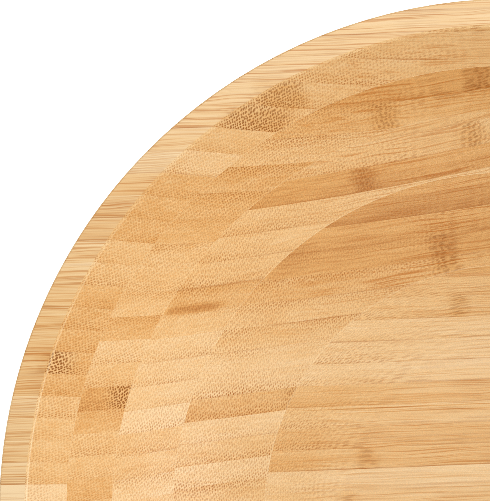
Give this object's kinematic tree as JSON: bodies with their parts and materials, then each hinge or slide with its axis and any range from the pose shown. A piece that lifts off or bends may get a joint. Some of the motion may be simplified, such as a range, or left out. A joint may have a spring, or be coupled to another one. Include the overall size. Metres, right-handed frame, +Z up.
{
  "type": "lazy susan turntable",
  "caption": "Deep round bamboo dish, turned from glued boards, that spins on a ball-bearing swivel above a bamboo base disc with rubber feet.",
  "frame": {"origin": "centre of rotation on the plane the rubber feet stand on", "axes": "+Z up along the axis of rotation; at rest the dish's bamboo strips run nearly along X"},
  "size_m": [0.28, 0.28, 0.099],
  "materials": {
    "dish_bamboo": "side-pressed caramel and natural bamboo strips, sanded and oiled, satin",
    "base_bamboo": "flat-pressed bamboo, sanded and oiled, satin",
    "zinc_plated_steel": "bright zinc plate, semi-gloss",
    "eyelet_steel": "rolled zinc-plated steel, semi-gloss",
    "ball_steel": "polished",
    "screw_steel": "zinc-plated, semi-gloss",
    "nylon": "natural nylon, satin",
    "foot_rubber": "matt moulded rubber"
  },
  "bodies": {
    "base": {"base_disc": "base_bamboo", "lower_swivel_plate": "zinc_plated_steel", "base_screws": "screw_steel", "centre_eyelet": "eyelet_steel", "spacer_washer": "nylon", "rubber_foot_1": "foot_rubber", "rubber_foot_2": "foot_rubber", "rubber_foot_3": "foot_rubber", "rubber_foot_4": "foot_rubber", "foot_screws": "screw_steel"},
    "tray": {"floor_board": "dish_bamboo", "lower_ring_board": "dish_bamboo", "middle_ring_board": "dish_bamboo", "upper_ring_board": "dish_bamboo", "rim_board": "dish_bamboo", "upper_swivel_plate": "zinc_plated_steel", "tray_screws": "screw_steel", "thrust_washer": "nylon"},
    "cage": {"ball_cage": "nylon", "bearing_balls": "ball_steel"}
  },
  "joints": [
    {"name": "tray_spin", "type": "hinge", "parent": "base", "child": "tray", "pos_m": [0, 0, 0.02], "axis": [0, 0, 1], "continuous": true},
    {"name": "cage_spin", "type": "hinge", "parent": "base", "child": "cage", "pos_m": [0, 0, 0.02], "axis": [0, 0, 1], "continuous": true}
  ],
  "couplings": [
    {"joint": "cage_spin", "follows": "tray_spin", "ratio": 0.5}
  ]
}
